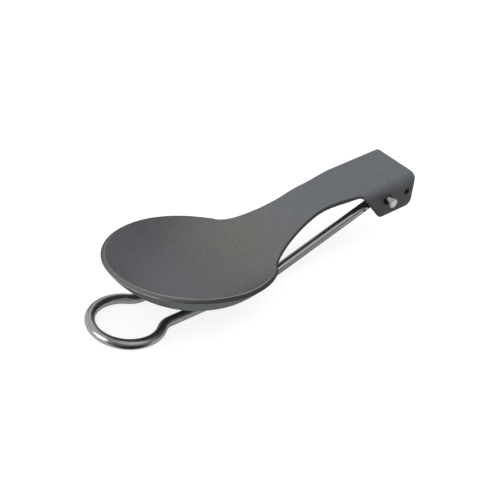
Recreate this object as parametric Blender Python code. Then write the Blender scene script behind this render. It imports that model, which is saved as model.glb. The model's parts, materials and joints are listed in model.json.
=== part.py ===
"""Folding spoon: a pressed sheet head and one bent wire handle that folds under its bowl.

Both pieces are drawn in the head's own frame: the channel's rear end at x = 0, the bowl
towards -x, the top plate's outer face at z = 0. They are then tilted and set down as the
folded spoon lies on a table, on the level run of its wire, with the footprint's middle at the origin.
"""
import bisect
import math

import bmesh
import bpy
from mathutils import Matrix, Vector

MM = 0.001

# Sheet of the head
SHEET = 1.3 * MM
EDGE_ROUND = 0.3 * MM

# Channel that the handle's legs fold into
CHANNEL_WIDTH = 16.5 * MM
CHANNEL_DEPTH = 10.2 * MM
FOLD_RADIUS = 2.1 * MM
FLANGE_FOOT_LENGTH = 12.1 * MM
FLANGE_LEAN = 8.8 * MM
NOTCH_OUTSET = 0.95 * MM
NOTCH_RADIUS = 1.8 * MM
FRONT_CORNER_RADIUS = 1.5 * MM
REAR_CORNER_RADIUS = 1.9 * MM

# Pivot and catch holes, halfway down the flanges
CATCH_SETBACK = 2.45 * MM
CATCH_SPACING = 7.65 * MM
CATCH_HOLE_DIAMETER = 2.05 * MM
PIVOT_SETBACK = CATCH_SETBACK + CATCH_SPACING
PIVOT_DROP = CHANNEL_DEPTH / 2

# Plan of the neck and the bowl, each length on from the one before it
FLARE_LENGTH = 8.6 * MM
FLARE_RADIUS = 50.0 * MM
NECK_WIDTH = 11.3 * MM
NECK_LENGTH = 5.8 * MM
NECK_PULL = 11.0 * MM
SHOULDER_LENGTH = 21.7 * MM
SHOULDER_START_PULL = 2.6 * MM
SHOULDER_HALF_WIDTH = 12.65 * MM
SHOULDER_SLOPE_SHARE = 1.79
SHOULDER_END_PULL = 2.1 * MM
BOWL_BACK_LENGTH = 18.0 * MM
BOWL_BACK_PULL = 9.0 * MM
BOWL_WIDTH = 38.0 * MM
BOWL_FRONT_LENGTH = 24.7 * MM
FLANGE_TOP_SETBACK = FLANGE_FOOT_LENGTH + FLANGE_LEAN
FLARE_SETBACK = FLANGE_TOP_SETBACK + FLARE_LENGTH
NECK_SETBACK = FLARE_SETBACK + NECK_LENGTH
SHOULDER_SETBACK = NECK_SETBACK + SHOULDER_LENGTH
WIDEST_SETBACK = SHOULDER_SETBACK + BOWL_BACK_LENGTH
HEAD_LENGTH = WIDEST_SETBACK + BOWL_FRONT_LENGTH

# Side view of the rim and the neck
PLATE_OVERHANG = 13.5 * MM
CRANK_RADIUS = 22.0 * MM
CRANK_LENGTH = 21.6 * MM
DIP_DROP = 6.26 * MM
DIP_RADIUS = 16.0 * MM
TIP_RISE = 1.83 * MM

# Hollow of the bowl
BOWL_DEPTH = 9.6 * MM
RAMP_LENGTH = 23.5 * MM
WALL_POWER = 3.15

# Handle wire
WIRE_DIAMETER = 2.7 * MM
PIN_BEND_RADIUS = 1.8 * MM
PIN_STAND_OUT = 2.4 * MM
PIN_NECK_DIAMETER = 2.1 * MM
PIN_CLEARANCE = 0.4 * MM
PIN_HEAD_RIM = 0.35 * MM
PIN_HEAD_LENGTH = 0.9 * MM
PIN_FLARE_LENGTH = 0.5 * MM
LEG_LENGTH = 45.5 * MM
BELLY_RADIUS = 12.0 * MM
BOWL_CLEARANCE = 0.7 * MM
RUN_RISE_ANGLE = math.radians(2.3)
LEG_SPREAD = 0.8 * MM
LOOP_REACH = 41.7 * MM
LOOP_RADIUS = 9.35 * MM
S_BEND_RADIUS = 6.0 * MM
NUB_DIAMETER = 1.8 * MM
NUB_HEIGHT = 0.25 * MM
NUB_CLEARANCE = 0.2 * MM

# Mesh density
FLAT_COLUMNS = 4
FOLD_COLUMNS = 5
FLANGE_COLUMNS = 3
FLAT_SHARE = 0.36
FOLD_SHARE = 0.75
FILLET_ROOM_SHARE = 0.98
TIP_STEPS = 10
BOWL_STEPS = 8
SHOULDER_STEPS = 11
NECK_STEP = 1.2 * MM
PLATE_STEP = 3.2 * MM
ARC_STEP = 0.22
LOOP_STEPS = 22
ROUND_SIDES = 24
WIRE_RESOLUTION = 2
OVERRUN = 2.0 * MM
WELD = 0.001 * MM
SHARP_ANGLE = math.radians(40)


def material(name, colour, roughness, metallic):
    """A plain Principled material."""
    result = bpy.data.materials.new(name)
    result.use_nodes = True
    shader = result.node_tree.nodes["Principled BSDF"]
    shader.inputs["Base Color"].default_value = (*colour, 1.0)
    shader.inputs["Roughness"].default_value = roughness
    shader.inputs["Metallic"].default_value = metallic
    return result


def fillet_reaches(corners, radii):
    """How far each inner corner's arc reaches along its two runs, no further than they have room."""
    reaches = [0]
    for before, corner, after, radius in zip(corners, corners[1:], corners[2:], radii):
        reaches.append(radius / math.tan((before - corner).angle(after - corner) / 2))
    reaches.append(0)
    for i, (low, high) in enumerate(zip(corners, corners[1:])):
        wanted = reaches[i] + reaches[i + 1]
        room = (high - low).length * FILLET_ROOM_SHARE
        if wanted > room:
            reaches[i] *= room / wanted
            reaches[i + 1] *= room / wanted
    return reaches[1:-1]


def rounded_path(corners, radii):
    """Straight runs between the corners, with a tangent arc at each inner corner."""
    path = [corners[0]]
    reaches = fillet_reaches(corners, radii)
    for before, corner, after, reach in zip(corners, corners[1:], corners[2:], reaches):
        back = (before - corner).normalized()
        ahead = (after - corner).normalized()
        opening = back.angle(ahead)
        centre = corner + (back + ahead).normalized() * reach / math.cos(opening / 2)
        first = corner + back * reach - centre
        last = corner + ahead * reach - centre
        turn = math.pi - opening
        steps = max(2, math.ceil(turn / ARC_STEP))
        for step in range(steps + 1):
            part = turn * step / steps
            spoke = first * math.sin(turn - part) + last * math.sin(part)
            path.append(centre + spoke / math.sin(turn))
    path.append(corners[-1])
    return path


def bezier(start, start_handle, end_handle, end, steps):
    """Points along one cubic curve, without its first point."""
    points = []
    for step in range(1, steps + 1):
        t = step / steps
        s = 1 - t
        points.append(start * s ** 3 + start_handle * 3 * s * s * t + end_handle * 3 * s * t * t + end * t ** 3)
    return points


def read_off(path, x):
    """Second coordinate at x of a path that runs towards rising x."""
    index = min(max(bisect.bisect_right([point.x for point in path], x), 1), len(path) - 1)
    low, high = path[index - 1], path[index]
    share = (x - low.x) / (high.x - low.x)
    return low.y + (high.y - low.y) * min(max(share, 0), 1)


def fold_start():
    """Half width of the flat top plate."""
    return CHANNEL_WIDTH / 2 - FOLD_RADIUS


def fold_end():
    """Way round the sheet from the middle line to the flat side of a flange."""
    return fold_start() + FOLD_RADIUS * math.pi / 2


def flange_edge():
    """Way round the sheet from the middle line to a flange's lower edge."""
    return fold_end() + CHANNEL_DEPTH - FOLD_RADIUS


def notch_side():
    """Way round the sheet from the middle line to the notch in front of a flange."""
    return fold_start() + NOTCH_OUTSET


def blank_outline():
    """Half width of the unfolded sheet along x, from the bowl's tip to the rear end."""
    half = BOWL_WIDTH / 2
    outline = []
    for step in range(TIP_STEPS + 1):
        turn = math.pi / 2 * step / TIP_STEPS
        outline.append(Vector((-WIDEST_SETBACK - BOWL_FRONT_LENGTH * math.cos(turn), half * math.sin(turn))))
    widest = outline[-1]
    shoulder = Vector((-SHOULDER_SETBACK, SHOULDER_HALF_WIDTH))
    fall = Vector((1, -SHOULDER_SLOPE_SHARE)).normalized()
    neck = Vector((-NECK_SETBACK, NECK_WIDTH / 2))
    along = Vector((1, 0))
    fall_start = shoulder - fall * SHOULDER_END_PULL
    fall_end = shoulder + fall * SHOULDER_START_PULL
    outline += bezier(widest, widest + along * BOWL_BACK_PULL, fall_start, shoulder, BOWL_STEPS)
    outline += bezier(shoulder, fall_end, neck - along * NECK_PULL, neck, SHOULDER_STEPS)
    corners = [
        neck,
        Vector((-FLARE_SETBACK, NECK_WIDTH / 2)),
        Vector((-FLANGE_TOP_SETBACK, notch_side())),
        Vector((-FLANGE_FOOT_LENGTH, flange_edge())),
        Vector((0, flange_edge())),
        Vector((0, flange_edge() - REAR_CORNER_RADIUS)),
    ]
    radii = [FLARE_RADIUS, NOTCH_RADIUS, FRONT_CORNER_RADIUS, REAR_CORNER_RADIUS]
    outline += rounded_path(corners, radii)[1:-1]
    return outline


def split_long_steps(outline):
    """The outline with extra stations where two lie far apart."""
    result = [outline[0]]
    for low, high in zip(outline, outline[1:]):
        longest = PLATE_STEP if high.x > -FLANGE_FOOT_LENGTH else NECK_STEP
        pieces = 1 if low.x < -NECK_SETBACK else max(1, math.ceil((high.x - low.x) / longest))
        for piece in range(1, pieces + 1):
            result.append(low.lerp(high, piece / pieces))
    return result


def side_profile():
    """Height of the rim, neck and top plate along x."""
    crank = FLANGE_TOP_SETBACK + PLATE_OVERHANG
    corners = [
        Vector((-HEAD_LENGTH, TIP_RISE)),
        Vector((-crank - CRANK_LENGTH, -DIP_DROP)),
        Vector((-crank, 0)),
        Vector((0, 0)),
    ]
    return rounded_path(corners, [DIP_RADIUS, CRANK_RADIUS])


def hollow(x, side, half):
    """Depth of the bowl below its rim at x, at a distance side from the middle line."""
    if x < -WIDEST_SETBACK:
        out = (-WIDEST_SETBACK - x) / BOWL_FRONT_LENGTH
        across = side / (BOWL_WIDTH / 2)
        return BOWL_DEPTH * max(0, 1 - math.hypot(out, across) ** WALL_POWER)
    climb = min(1, (x + WIDEST_SETBACK) / RAMP_LENGTH)
    return BOWL_DEPTH * (1 - climb * climb * (3 - 2 * climb)) * (1 - (side / half) ** WALL_POWER)


def folded(side):
    """Distance out and drop of a point that lies side away round the folded sheet."""
    if side <= fold_start():
        return side, 0
    if side >= fold_end():
        return CHANNEL_WIDTH / 2, FOLD_RADIUS + side - fold_end()
    turn = (side - fold_start()) / FOLD_RADIUS
    return fold_start() + FOLD_RADIUS * math.sin(turn), FOLD_RADIUS * (1 - math.cos(turn))


def column_sides(x, half):
    """Places of the columns of points from the middle line out to the sheet's edge."""
    flat, fold = half * FLAT_SHARE, half * FOLD_SHARE
    if x > -FLARE_SETBACK:
        room = half - notch_side()
        settled = min(max(room / (fold_end() + EDGE_ROUND - fold_start()), 0), 1)
        flat += (fold_start() - flat) * settled
        fold += (fold_end() - fold) * settled
    sides = [flat * i / FLAT_COLUMNS for i in range(FLAT_COLUMNS)]
    sides += [flat + (fold - flat) * i / FOLD_COLUMNS for i in range(FOLD_COLUMNS)]
    sides += [fold + (half - fold) * i / FLANGE_COLUMNS for i in range(FLANGE_COLUMNS + 1)]
    return sides


def head_rows():
    """Upper face of the head as rows of points, one row for each station along x."""
    profile = side_profile()
    rows = []
    for x, half in split_long_steps(blank_outline()):
        height = read_off(profile, x)
        right = []
        for side in column_sides(x, half):
            out, drop = folded(side) if x > -FLARE_SETBACK else (side, hollow(x, side, half))
            right.append(Vector((x, out, height - drop)))
        left = [Vector((point.x, -point.y, point.z)) for point in reversed(right[1:])]
        rows.append(left + right)
    return rows


def pressed_sheet(rows):
    """Closed sheet below the rows of points, with its edge eased all round."""
    bm = bmesh.new()
    tip = bm.verts.new(rows[0][0])
    lines = [[bm.verts.new(point) for point in row] for row in rows[1:]]
    for left, right in zip(lines[0], lines[0][1:]):
        bm.faces.new((tip, left, right))
    for low, high in zip(lines, lines[1:]):
        for i in range(len(low) - 1):
            bm.faces.new((low[i], high[i], high[i + 1], low[i + 1]))
    rim = [edge for edge in bm.edges if edge.is_boundary]
    upper = set(bm.faces)
    bm.normal_update()
    bmesh.ops.solidify(bm, geom=bm.faces[:], thickness=SHEET)
    band = [face for edge in rim for face in edge.link_faces if face not in upper]
    bmesh.ops.inset_region(bm, faces=band, thickness=EDGE_ROUND, depth=EDGE_ROUND,
                           use_boundary=True, use_even_offset=True)
    return bm


def cross_cylinder(bm, x, z, radius):
    """Round bar across the channel, past both flanges."""
    placed = Matrix.Translation((x, 0, z)) @ Matrix.Rotation(math.pi / 2, 4, "X")
    bmesh.ops.create_cone(bm, cap_ends=True, segments=ROUND_SIDES, radius1=radius, radius2=radius,
                          depth=CHANNEL_WIDTH + OVERRUN, matrix=placed)


def add_mesh_object(name, bm, finish, parent):
    """New object that holds the shape, moved so that its origin is on the pivot."""
    bmesh.ops.translate(bm, verts=bm.verts[:], vec=(PIVOT_SETBACK, 0, PIVOT_DROP))
    mesh = bpy.data.meshes.new(name)
    bm.to_mesh(mesh)
    bm.free()
    mesh.materials.append(finish)
    mesh.shade_smooth()
    mesh.set_sharp_from_angle(angle=SHARP_ANGLE)
    obj = bpy.data.objects.new(name, mesh)
    bpy.context.collection.objects.link(obj)
    obj.parent = parent
    return obj


def combine(obj, tool, operation):
    """Boolean of an object with a hidden tool shape."""
    tool.hide_render = True
    tool.display_type = "WIRE"
    modifier = obj.modifiers.new(tool.name, "BOOLEAN")
    modifier.operation = operation
    modifier.object = tool


def add_head(finish, parent):
    """Pressed head with the pivot and catch holes through both flanges."""
    head = add_mesh_object("spoon_head", pressed_sheet(head_rows()), finish, parent)
    bm = bmesh.new()
    cross_cylinder(bm, -PIVOT_SETBACK, -PIVOT_DROP, PIN_NECK_DIAMETER / 2 + PIN_CLEARANCE)
    cross_cylinder(bm, -CATCH_SETBACK, -PIVOT_DROP, CATCH_HOLE_DIAMETER / 2)
    combine(head, add_mesh_object("hole_cutter", bm, finish, parent), "DIFFERENCE")
    return head


def leg_half_gap():
    """Distance from the middle line to a leg's centre line at the pivot."""
    return CHANNEL_WIDTH / 2 - SHEET - NUB_CLEARANCE - NUB_HEIGHT - WIRE_DIAMETER / 2


def pin_profile():
    """Places and radii along a pivot pin, from its outer end to its bend."""
    end = CHANNEL_WIDTH / 2 + PIN_STAND_OUT
    neck = PIN_NECK_DIAMETER / 2
    head = neck + PIN_HEAD_RIM
    flare_end = end - PIN_HEAD_LENGTH - PIN_FLARE_LENGTH
    inner = leg_half_gap() + PIN_BEND_RADIUS
    return [
        (end, head - EDGE_ROUND),
        (end - EDGE_ROUND, head),
        (end - PIN_HEAD_LENGTH, head),
        (flare_end, neck),
        (inner + EDGE_ROUND, neck),
    ]


def leg_drop_angle():
    """Slope of the folded legs that takes their lower ends just below the bowl."""
    up = Vector((math.sin(RUN_RISE_ANGLE), 0, math.cos(RUN_RISE_ANGLE)))
    pivot = Vector((-PIVOT_SETBACK, 0, -PIVOT_DROP))
    lowest = min(point.dot(up) for row in head_rows() for point in row) - SHEET
    run = lowest - BOWL_CLEARANCE - WIRE_DIAMETER / 2
    return math.asin((pivot.dot(up) - run) / LEG_LENGTH) - RUN_RISE_ANGLE


def handle_route():
    """Centre line and radius of one half of the wire, from its pin to the loop's end."""
    start = Vector((-PIVOT_SETBACK, 0, -PIVOT_DROP))
    gap = leg_half_gap()
    slope = leg_drop_angle()
    down = Vector((-math.cos(slope), 0, -math.sin(slope)))
    run = Vector((-math.cos(RUN_RISE_ANGLE), 0, math.sin(RUN_RISE_ANGLE)))
    out = Vector((0, 1, 0))
    belly = start + down * LEG_LENGTH
    loop_centre = belly + run * LOOP_REACH
    far_gap = gap + LEG_SPREAD
    s_reach = math.sqrt((LOOP_RADIUS + S_BEND_RADIUS) ** 2 - (far_gap + S_BEND_RADIUS) ** 2)
    s_start = loop_centre - run * s_reach + out * far_gap
    belly_gap = gap + LEG_SPREAD * LEG_LENGTH / (LEG_LENGTH + LOOP_REACH - s_reach)
    pins = pin_profile()
    corners = [start + out * pins[-1][0], start + out * gap, belly + out * belly_gap, s_start]
    wire = WIRE_DIAMETER / 2
    route = [(start + out * place, radius) for place, radius in pins[:-1]]
    bends = rounded_path(corners, [PIN_BEND_RADIUS, BELLY_RADIUS])
    route.append((bends[0], pins[-1][1]))
    route += [(point, wire) for point in bends[1:-1]]
    lean = math.atan2(far_gap + S_BEND_RADIUS, s_reach)
    s_centre = s_start + out * S_BEND_RADIUS
    s_steps = math.ceil((math.pi / 2 - lean) / ARC_STEP) + 1
    for step in range(s_steps):
        turn = (math.pi / 2 - lean) * step / s_steps
        route.append((s_centre + (run * math.sin(turn) - out * math.cos(turn)) * S_BEND_RADIUS, wire))
    for step in range(LOOP_STEPS + 1):
        turn = math.pi - lean - (math.pi - lean) * step / LOOP_STEPS
        route.append((loop_centre + (run * math.cos(turn) + out * math.sin(turn)) * LOOP_RADIUS, wire))
    return route


def add_handle(finish, parent):
    """Bent wire handle with a pivot pin and a catch nub at the end of each leg."""
    half = handle_route()
    mirrored = [(Vector((point.x, -point.y, point.z)), radius) for point, radius in reversed(half[:-1])]
    route = half + mirrored
    curve = bpy.data.curves.new("handle_curve", "CURVE")
    curve.dimensions = "3D"
    curve.bevel_depth = WIRE_DIAMETER / 2
    curve.bevel_resolution = WIRE_RESOLUTION
    curve.use_fill_caps = True
    spline = curve.splines.new("POLY")
    spline.points.add(len(route) - 1)
    for place, (point, radius) in zip(spline.points, route):
        place.co = (*point, 1)
        place.radius = radius / curve.bevel_depth
    guide = bpy.data.objects.new("handle_guide", curve)
    bpy.context.collection.objects.link(guide)
    bm = bmesh.new()
    bm.from_mesh(guide.evaluated_get(bpy.context.evaluated_depsgraph_get()).to_mesh())
    bmesh.ops.remove_doubles(bm, verts=bm.verts[:], dist=WELD)
    bpy.data.objects.remove(guide)
    handle = add_mesh_object("wire_handle", bm, finish, parent)
    combine(handle, add_mesh_object("catch_nubs", catch_nubs(), finish, parent), "UNION")
    return handle


def catch_nubs():
    """Low domes on the outer sides of both legs, as far from the pivot as the catch holes."""
    bm = bmesh.new()
    radius = NUB_DIAMETER / 2
    out = leg_half_gap() + LEG_SPREAD * CATCH_SPACING / (LEG_LENGTH + LOOP_REACH) + WIRE_DIAMETER / 2
    slope = leg_drop_angle()
    x = -PIVOT_SETBACK - CATCH_SPACING * math.cos(slope)
    z = -PIVOT_DROP - CATCH_SPACING * math.sin(slope)
    for side in (-1, 1):
        centre = Vector((x, side * (out + NUB_HEIGHT - radius), z))
        bmesh.ops.create_icosphere(bm, subdivisions=2, radius=radius, matrix=Matrix.Translation(centre))
    return bm


def set_down(stand, pieces):
    """Move the stand so that the pieces rest on z = 0 with their footprint's middle at the origin."""
    bpy.context.view_layer.update()
    graph = bpy.context.evaluated_depsgraph_get()
    points = []
    for piece in pieces:
        shape = piece.evaluated_get(graph)
        mesh = shape.to_mesh()
        points += [shape.matrix_world @ vertex.co for vertex in mesh.vertices]
        shape.to_mesh_clear()
    low = [min(point[axis] for point in points) for axis in range(3)]
    high = [max(point[axis] for point in points) for axis in range(3)]
    stand.location -= Vector(((low[0] + high[0]) / 2, (low[1] + high[1]) / 2, low[2]))


for old in list(bpy.data.objects):
    bpy.data.objects.remove(old)
anodised = material("anodised_aluminium", (0.13, 0.135, 0.14), 0.45, 0.6)
polished = material("polished_steel", (0.55, 0.56, 0.56), 0.15, 1.0)
stand = bpy.data.objects.new("pivot_axis", None)
stand.rotation_euler = (0, -RUN_RISE_ANGLE, 0)
bpy.context.collection.objects.link(stand)
head = add_head(anodised, stand)
handle = add_handle(polished, stand)
set_down(stand, (head, handle))
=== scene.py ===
"""Dressed folding spoon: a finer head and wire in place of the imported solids, with their finishes.

The sizes and the two forms follow the part's own. Both are built in the head's frame, which has the
channel's rear end at x = 0, the bowl towards -x and the top plate's outer face at z = 0. They are
then set on the frame's pivot and tilted as the folded spoon lies.
"""
import bisect
import json
import math

import bmesh
import bpy
from mathutils import Matrix, Vector


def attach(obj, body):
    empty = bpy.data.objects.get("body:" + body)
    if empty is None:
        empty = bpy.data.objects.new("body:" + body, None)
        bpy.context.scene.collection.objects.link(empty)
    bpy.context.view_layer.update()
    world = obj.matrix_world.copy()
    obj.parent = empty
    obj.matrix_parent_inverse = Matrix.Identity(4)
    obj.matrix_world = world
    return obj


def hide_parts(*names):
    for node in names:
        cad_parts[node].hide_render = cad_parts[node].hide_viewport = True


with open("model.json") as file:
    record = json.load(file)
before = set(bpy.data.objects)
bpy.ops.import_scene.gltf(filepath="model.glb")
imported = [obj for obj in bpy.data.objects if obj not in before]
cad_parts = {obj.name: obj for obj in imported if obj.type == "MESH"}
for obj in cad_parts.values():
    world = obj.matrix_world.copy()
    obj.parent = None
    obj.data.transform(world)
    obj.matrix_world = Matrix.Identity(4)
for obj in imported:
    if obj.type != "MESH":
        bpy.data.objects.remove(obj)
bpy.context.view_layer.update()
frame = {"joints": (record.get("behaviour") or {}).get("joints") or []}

MM = 0.001

# Head: sheet and channel
SHEET = 1.3 * MM
EDGE_ROUND = 0.3 * MM
CHANNEL_WIDTH = 16.5 * MM
CHANNEL_DEPTH = 10.2 * MM
FOLD_RADIUS = 2.1 * MM
FLANGE_FOOT_LENGTH = 12.1 * MM
FLANGE_LEAN = 8.8 * MM
NOTCH_OUTSET = 0.95 * MM
NOTCH_RADIUS = 1.8 * MM
FRONT_CORNER_RADIUS = 1.5 * MM
REAR_CORNER_RADIUS = 1.9 * MM

# Head: holes
CATCH_SETBACK = 2.45 * MM
CATCH_SPACING = 7.65 * MM
CATCH_HOLE_DIAMETER = 2.05 * MM
PIVOT_SETBACK = CATCH_SETBACK + CATCH_SPACING
PIVOT_DROP = CHANNEL_DEPTH / 2
HOLE_EDGE = 0.06 * MM

# Head: plan of the neck and the bowl
FLARE_LENGTH = 8.6 * MM
FLARE_RADIUS = 50.0 * MM
NECK_WIDTH = 11.3 * MM
NECK_LENGTH = 5.8 * MM
NECK_PULL = 11.0 * MM
SHOULDER_LENGTH = 21.7 * MM
SHOULDER_START_PULL = 2.6 * MM
SHOULDER_HALF_WIDTH = 12.65 * MM
SHOULDER_SLOPE_SHARE = 1.79
SHOULDER_END_PULL = 2.1 * MM
BOWL_BACK_LENGTH = 18.0 * MM
BOWL_BACK_PULL = 9.0 * MM
BOWL_WIDTH = 38.0 * MM
BOWL_FRONT_LENGTH = 24.7 * MM
FLANGE_TOP_SETBACK = FLANGE_FOOT_LENGTH + FLANGE_LEAN
FLARE_SETBACK = FLANGE_TOP_SETBACK + FLARE_LENGTH
NECK_SETBACK = FLARE_SETBACK + NECK_LENGTH
SHOULDER_SETBACK = NECK_SETBACK + SHOULDER_LENGTH
WIDEST_SETBACK = SHOULDER_SETBACK + BOWL_BACK_LENGTH
HEAD_LENGTH = WIDEST_SETBACK + BOWL_FRONT_LENGTH

# Head: side view and hollow
PLATE_OVERHANG = 13.5 * MM
CRANK_RADIUS = 22.0 * MM
CRANK_LENGTH = 21.6 * MM
DIP_DROP = 6.26 * MM
DIP_RADIUS = 16.0 * MM
TIP_RISE = 1.83 * MM
BOWL_DEPTH = 9.6 * MM
RAMP_LENGTH = 23.5 * MM
WALL_POWER = 3.15

# Handle
WIRE_DIAMETER = 2.7 * MM
PIN_BEND_RADIUS = 1.8 * MM
PIN_STAND_OUT = 2.4 * MM
PIN_NECK_DIAMETER = 2.1 * MM
PIN_CLEARANCE = 0.4 * MM
PIN_HEAD_RIM = 0.35 * MM
PIN_HEAD_LENGTH = 0.3 * MM
PIN_FACE_CROWN = 0.06 * MM
PIN_FLARE_LENGTH = 1.3 * MM
LEG_LENGTH = 45.5 * MM
BELLY_RADIUS = 12.0 * MM
RUN_RISE_ANGLE = math.radians(2.3)
LEG_SPREAD = 0.8 * MM
LOOP_REACH = 41.7 * MM
LOOP_RADIUS = 9.35 * MM
S_BEND_RADIUS = 6.0 * MM
NUB_DIAMETER = 1.3 * MM
NUB_HEIGHT = 0.25 * MM
NUB_CLEARANCE = 0.2 * MM
# Share of a nub's width whose middle is painted with shade
NUB_SHADE_SHARE = 0.65
PIVOT_PLACE = Vector((-PIVOT_SETBACK, 0, -PIVOT_DROP))

# Holes through both flanges: the setback from the rear end and the radius
HOLES = {
    "pivot_bore": (PIVOT_SETBACK, PIN_NECK_DIAMETER / 2 + PIN_CLEARANCE),
    "catch_bore": (CATCH_SETBACK, CATCH_HOLE_DIAMETER / 2),
}

# Mesh density
FLAT_COLUMNS = 9
FOLD_COLUMNS = 12
FLANGE_COLUMNS = 8
FLAT_SHARE = 0.36
FOLD_SHARE = 0.75
FILLET_ROOM_SHARE = 0.98
TIP_STEPS = 44
BOWL_STEPS = 22
SHOULDER_STEPS = 34
NECK_STEP = 0.55 * MM
PLATE_STEP = 1.1 * MM
ARC_STEP = 0.07
EDGE_STEPS = 4
HOLE_SIDES = 64
WIRE_SIDES = 48
PIN_FACE_STEPS = 6
PIN_FLARE_STEPS = 8
PIN_NECK_STEPS = 3
PIN_BEND_STEPS = 6
LOOP_STEPS = 90
WIRE_STEP = 1.2 * MM
NUB_PARTS = 8
OVERRUN = 2.0 * MM
SHARP_ANGLE = math.radians(35)
NORMAL_WEIGHT = 60

# Tints of the head and where they lie, with painted shade, shadow, sheen and highlights among them
VIOLET_GREY = (0.127, 0.123, 0.142, 1)
GREEN_GREY = (0.127, 0.133, 0.118, 1)
BLUE_GREY = (0.116, 0.126, 0.140, 1)
# Painted shade: a darker grey on the flanges' sides
FLANGE_SHADE = (0.061, 0.058, 0.068, 1)
# Painted sheen: a paler grey on the underside towards its sides
UNDER_SHEEN = (0.180, 0.198, 0.208, 1)
# Painted shade under the middle of the sheet and under the neck and plate
UNDER_SHADE = (0.062, 0.064, 0.066, 1)
# Painted light and shade on the cut edge: lit near the tip, shaded further back
CUT_SHADE = (0.030, 0.030, 0.027, 1)
CUT_LIT = (0.115, 0.123, 0.110, 1)
CUT_FAR_LIT = (0.100, 0.110, 0.112, 1)
# Painted highlight along the rim's inner corner
CORNER_HIGHLIGHT_GREY = (0.52, 0.53, 0.50, 1)
# Painted highlight along the rim's lower corner at the tip
LIP_HIGHLIGHT_GREY = (0.54, 0.55, 0.52, 1)
GREEN_PLACE = Vector((-3, 3, 12)) * MM
GREEN_WANDER = 12 * MM
GREEN_FULL = 7 * MM
GREEN_END = 33 * MM
BLUE_START = 4 * MM
BLUE_FULL = 25 * MM
# Where the painted shade on the flanges lies
FLANGE_START = 19 * MM
FLANGE_FULL = 16.3 * MM
FLANGE_FRONT = 27 * MM
FLANGE_BACK = 31 * MM
# Where the cut edge's painted light gives way to its painted shade
PALE_START = -27 * MM
PALE_FULL = -47 * MM
PALE_LEAN = 13 * MM
TIP_LEAN = 0.3
CUT_COVER = 0.92
FAR_START = 0
FAR_FULL = 14 * MM
# Where the painted lip highlight lies at the tip
LIP_START = -44 * MM
LIP_FULL = -49 * MM
# Where the underside's painted shade gives way to its painted sheen
UNDER_SHADE_END = 5 * MM
UNDER_SHEEN_FULL = 14 * MM
NECK_SHADE_START = -8 * MM
NECK_SHADE_FULL = 8 * MM
# Painted shadow on the flange round the pivot pin
PIN_SHADOW_SHIFT = 0.35 * MM
PIN_SHADOW_FULL = 1.3 * MM
PIN_SHADOW_END = 2.5 * MM
PIN_SHADOW_SHARE = 0.7
PIN_SHADOW_GREY = (0.025, 0.027, 0.024, 1)
# Painted shade on the walls of the holes
BORE_SHADE = (0.012, 0.012, 0.013, 1)
# Where the painted corner highlight is full and where it fades: across, along x and at the tip
HIGHLIGHT_NEAR_END = 6 * MM
HIGHLIGHT_NEAR_FULL = -10 * MM
HIGHLIGHT_FADE_START = -22 * MM
HIGHLIGHT_FADE_END = -1 * MM
FAR_HIGHLIGHT = 0.12
NECK_HIGHLIGHT = 0.07
TIP_HIGHLIGHT_DROP = 0.6
CORNER_HIGHLIGHT_SHARES = (1.0, 0.85, 0.25)

# Head: noise scales, and the noise range, shares and colour of each effect
DRIFT_SCALE = 45.0
CLOUD_SCALE = 210.0
GRAIN_SCALE = 1900.0
GRAIN_ROUGHNESS = 0.65
SPECK_SCALE = 5200.0
MOTTLE_RANGE = (0.3, 0.7)
MOTTLE_SHARES = (0.0, 0.10)
MOTTLE_GREY = (0.130, 0.134, 0.134, 1)
GRAIN_RANGE = (0.35, 0.65)
GRAIN_SHARES = (0.03, 0.35)
GRAIN_GREY = (0.062, 0.063, 0.066, 1)
PATCH_RANGE = (0.2, 0.8)
PATCH_SHARES = (0.55, 1.0)
LIP_PATCH_RANGE = (0.35, 0.6)
LIP_PATCH_SHARES = (0.3, 1.0)
ROUGH_RANGE = (0.3, 0.7)
HEAD_ROUGHNESS = (0.47, 0.55)
HEAD_ROUGHENING = (-0.04, 0.05)
HEAD_METALLIC = 0.1
GRAIN_HEIGHT = 0.7
SPECK_HEIGHT = 0.3
HEAD_BUMP = 0.35
HEAD_BUMP_DISTANCE = 0.03 * MM

# Wire: noise along it and around it, colours, the pins' finish, and the painted shade on and under
# the pins
LINES_STRETCH = (60.0, 9000.0, 9000.0)
LINES_ROUGHNESS = 0.6
TICKS_STRETCH = (2600.0, 700.0, 700.0)
TICKS_ROUGHNESS = 0.7
SMEAR_SCALE = 420.0
SMEAR_TINT_RANGE = (0.3, 0.7)
STEEL_GREY = (0.60, 0.61, 0.605, 1)
STEEL_PALE = (0.66, 0.665, 0.655, 1)
TICK_RANGE = (0.62, 0.72)
TICK_SHARES = (0.0, 0.35)
TICK_GREY = (0.42, 0.43, 0.43, 1)
SMEAR_RANGE = (0.25, 0.75)
WIRE_ROUGHNESS = (0.10, 0.17)
WIRE_ROUGHENING = (-0.02, 0.04)
LINES_HEIGHT = 0.6
TICKS_HEIGHT = 0.4
WIRE_BUMP = 0.08
WIRE_BUMP_DISTANCE = 0.02 * MM
PIN_PALE = (0.78, 0.82, 0.81, 1)
PIN_ROUGHENING = 0.14
PIN_METALLIC = 0.55
PIN_FLANK_MARK = 0.4
# Painted shade on the pins' rims and under their flanks: its share, direction and gains
PIN_RIM_SHADE = 0.45
PIN_SHADE_WAY = Vector((-1, 0, -2)).normalized()
PIN_SHADE_GAIN = 2
PIN_SHADE_FADE_GAIN = 3

# Camera, seen from the pivot: the point it looks at, its distance and its turns
AIM = Vector((-43.007, 0.889, -7.053)) * MM
DISTANCE = 407.6 * MM
AZIMUTH = math.radians(-47.07)
ELEVATION = math.radians(34.85)
ROLL = math.radians(9.41)
LENS = 108.76
SENSOR_WIDTH = 36.0
CLIP_START = 10 * MM

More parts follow.
